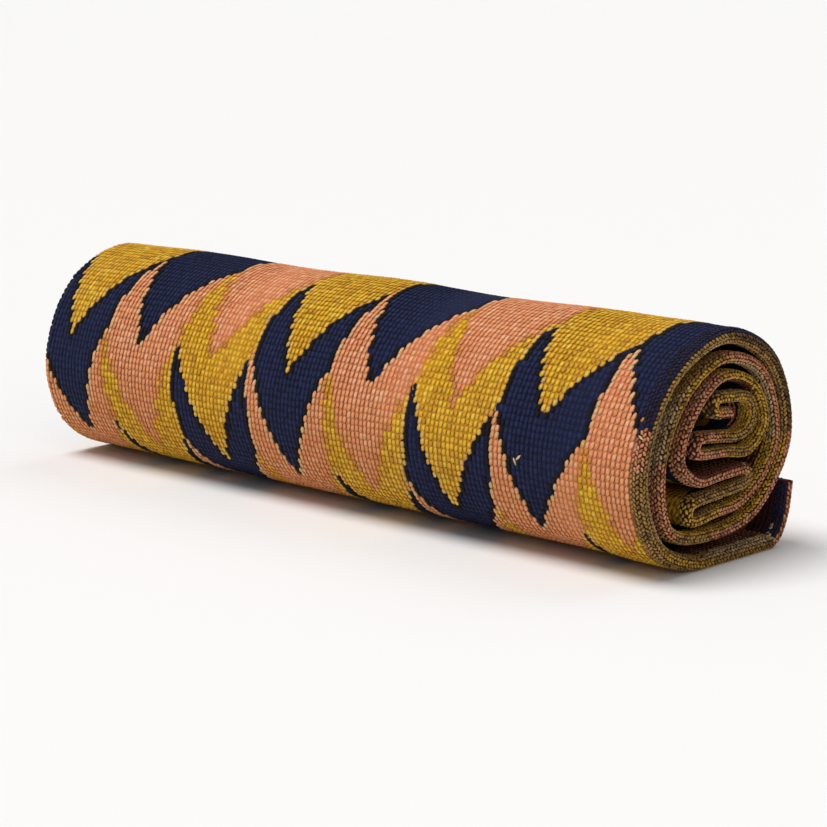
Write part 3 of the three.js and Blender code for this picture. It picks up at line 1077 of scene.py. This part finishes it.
# for every yarn unless its own row says otherwise: how rough it is, how much rougher its worn patches are,
# and the bump of its fibres, as strength and depth in mm
everyYarn = {"roughness": 0.8, "rougher": 0.1, "bump": 0.3, "bumpDepth": 0.08}
# endShade and sideShade set painted shade at a float's ends and sides, and shine sets a painted highlight on
# its back
yarnLook = {
    "gold": {"endShade": 0.34, "sideShade": 0.54, "shine": 0.2, "wear": 0.05, "sheen": 0.03,
             "roughness": 0.78},
    "coral": {"endShade": 0.34, "sideShade": 0.58, "shine": 0.26, "wear": 0.06, "sheen": 0.05},
    "navy": {"endShade": 0.3, "sideShade": 0.82, "shine": 0.006, "wear": 0.002, "sheen": 0.01},
    "edge": {"endShade": 0.5, "sideShade": 0.4, "shine": 0.012, "wear": 0.008, "sheen": 0.02},
}


def yarnMaterial(name):
    look = {**everyYarn, **yarnLook[name]}
    made, tree = emptyMaterial(name + " yarn")
    lightAndWear = placeGroup(tree, yarnLightAndWear, Along_float=fromMesh(tree, "alongFloat"),
                        Above_ground=fromMesh(tree, "aboveGround"), End_shade=look["endShade"],
                        Side_shade=look["sideShade"], Back_shine=look["shine"])
    # painted shade: the float's colour darkens at its ends and sides
    shadeAndStreaks = lightAndWear["Tone"]
    grey = addNode(tree, "ShaderNodeCombineColor", Red=shadeAndStreaks, Green=shadeAndStreaks, Blue=shadeAndStreaks)
    shadedColour = mixColour(tree, 1.0, fromMesh(tree, "yarnColour", "Color"), grey.outputs[0], "MULTIPLY")
    # a painted highlight on the float's back, together with its worn patches, both mixed towards cream
    pale = maths(tree, "MULTIPLY_ADD", lightAndWear["Wear"], look["wear"], lightAndWear["Shine"])
    highlitAndWorn = mixColour(tree, pale, shadedColour, dye["cream"])
    rough = maths(tree, "MULTIPLY_ADD", lightAndWear["Wear"], look["rougher"], look["roughness"])
    finishMaterial(tree, highlitAndWorn, rough, lightAndWear["Fibre height"], look)
    return made


ground = {
    "goldGroove": (196, 140, 34), "coralGroove": (206, 124, 90), "navyGroove": (21, 26, 54),
    "gold": (196, 146, 38), "coral": (214, 132, 98), "navy": (30, 35, 66),
    "gap": 0.8,  # mm that the navy's ground goes on under the floats beside it
    # painted shade: inside is the share of the floats' lighter colour that shows on the faces inside the
    # roll
    "inside": 0.36,  # how light the faces inside the roll are
    "fibre": 0.15,  # height of its fibres against that of its floats
    "rougher": 0.08, "roughness": 0.85, "sheen": 0.03, "bump": 0.8, "bumpDepth": 0.35,
}


def groundMaterial():
    made, tree = emptyMaterial("woven ground")
    placeX, down = fromMesh(tree, "patternX"), fromMesh(tree, "down")
    flames = placeGroup(tree, flamePattern, Along_roll=placeX, Down=down)
    beside = []
    for shift in (-ground["gap"], ground["gap"]):
        shifted = maths(tree, "ADD", placeX, shift)
        beside.append(placeGroup(tree, flamePattern, Along_roll=shifted, Down=down)["Navy"])
    navy = maths(tree, "MAXIMUM", *beside)
    floats = placeGroup(tree, wovenYarn, Across=fromMesh(tree, "across"), Along=fromMesh(tree, "along"))
    lightAndWear = placeGroup(tree, yarnLightAndWear)
    colours = []
    for kind in ("Groove", ""):
        gold, coral = shade(ground["gold" + kind]), shade(ground["coral" + kind])
        mixed = mixColour(tree, flames["Coral"], gold, coral)
        colours.append(mixColour(tree, navy, mixed, shade(ground["navy" + kind])))
    bare = maths(tree, "SUBTRACT", 1.0, fromMesh(tree, "covered"))
    # painted shade: on the faces inside the roll only that share of the floats' colour shows over the darker
    # groove colour
    shows = maths(tree, "MULTIPLY", maths(tree, "MULTIPLY", floats["Float"], bare), ground["inside"])
    woven = mixColour(tree, shows, *colours)
    rough = maths(tree, "MULTIPLY_ADD", lightAndWear["Wear"], ground["rougher"], ground["roughness"])
    bumps = maths(tree, "MULTIPLY", floats["Height"], bare)
    height = maths(tree, "MULTIPLY_ADD", lightAndWear["Fibre height"], ground["fibre"], bumps)
    edged = mixColour(tree, fromMesh(tree, "nearEdge"), woven, fromMesh(tree, "edgeGround", "Color"))
    finishMaterial(tree, edged, rough, height, ground)
    return made


clothPiece = makeSheet()
print("sheet:", len(clothPiece.data.polygons), "quads")

clothPiece.data.materials.append(groundMaterial())
yarnMaterials = {name: yarnMaterial(name) for name in yarnLook}
print("materials built")

yarnPieces = [weave(f"{kind} yarn", facePoints(kind), kind, yarnMaterials[kind])
              for kind in ("gold", "coral", "navy")]
yarnPieces += [
    weave("folded edge yarn", edgePoints(), "edge", yarnMaterials["edge"]),
    weave("selvedge yarn", selvedgePoints(), "selvedge", yarnMaterials["edge"]),
    weave("stray threads", strayPoints(), "stray", yarnMaterials["coral"]),
]

for piece in [clothPiece] + yarnPieces:
    piece.name = piece.name.replace(" ", "_")
    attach(piece, "root")
    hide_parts("cloth_roll")

# The studio: a pale floor, soft light, and the camera where the photograph's was.
studio = {
    "azimuth": math.radians(43.8), "elevation": math.radians(11), "distance": 769,
    "lens": 123, "sensor": 36, "clip": (0.01, 40),
    "aim": (7, 0, -4.5),  # mm from the middle of the roll's axis
    "floor": (0.9, 0.89, 0.88), "floorRoughness": 0.9, "floorReach": 9,  # m each way
    "sky": (0.97, 0.98, 1.0), "skyStrength": 0.24, "skySeen": 0.9,  # as light, and as the camera sees it
    "lights": [  # from where, softness in degrees, power
        ((-0.35, -0.75, 2.1), 32, 2.4),
        ((1.7, -0.9, 1.1), 40, 0.34),
        ((0.1, 1.2, 1.6), 40, 0.4),
    ],
}


def lookAt(item, target):
    item.rotation_euler = (target - item.location).to_track_quat("-Z", "Y").to_euler()


def buildFloor():
    reach = studio["floorReach"]
    mesh = bpy.data.meshes.new("floor")
    corners = [(x * reach, y * reach, 0) for x, y in ((-1, -1), (1, -1), (1, 1), (-1, 1))]
    mesh.from_pydata(corners, [], [(0, 1, 2, 3)])
    floor = addToScene("floor", mesh)
    pale, tree = emptyMaterial("pale floor")
    shader = addNode(tree, "ShaderNodeBsdfPrincipled", Base_Color=(*studio["floor"], 1),
                     Roughness=studio["floorRoughness"])
    tree.links.new(shader.outputs[0], tree.nodes.new("ShaderNodeOutputMaterial").inputs[0])
    mesh.materials.append(pale)


def buildLights(middle):
    for index, (where, softness, power) in enumerate(studio["lights"]):
        lamp = bpy.data.lights.new(f"soft light {index + 1}", "SUN")
        lamp.angle, lamp.energy = math.radians(softness), power
        holder = addToScene(lamp.name, lamp)
        holder.location = where
        lookAt(holder, middle)
    world = bpy.data.worlds.new("studio")
    world.use_nodes = True
    tree = world.node_tree
    sky = tree.nodes["Background"]
    sky.inputs["Color"].default_value = (*studio["sky"], 1)
    seen = tree.nodes.new("ShaderNodeLightPath").outputs["Is Camera Ray"]
    more = studio["skySeen"] - studio["skyStrength"]
    feed(tree, maths(tree, "MULTIPLY_ADD", seen, more, studio["skyStrength"]), sky.inputs["Strength"])
    scene.world = world


def buildCamera(middle):
    lens = bpy.data.cameras.new("camera")
    lens.lens, lens.sensor_width = studio["lens"], studio["sensor"]
    lens.clip_start, lens.clip_end = studio["clip"]
    camera = addToScene("camera", lens)
    azimuth, elevation = studio["azimuth"], studio["elevation"]
    away = Vector((math.cos(elevation) * math.sin(azimuth), -math.cos(elevation) * math.cos(azimuth),
                   math.sin(elevation)))
    camera.location = middle + studio["distance"] * mm * away
    lookAt(camera, middle + Vector(studio["aim"]) * mm)
    scene.camera = camera


rollMiddle = Vector(roll["axisAt"]) * mm
buildFloor()
buildLights(rollMiddle)
buildCamera(rollMiddle)
scene.view_settings.view_transform = "Standard"
print("studio built")
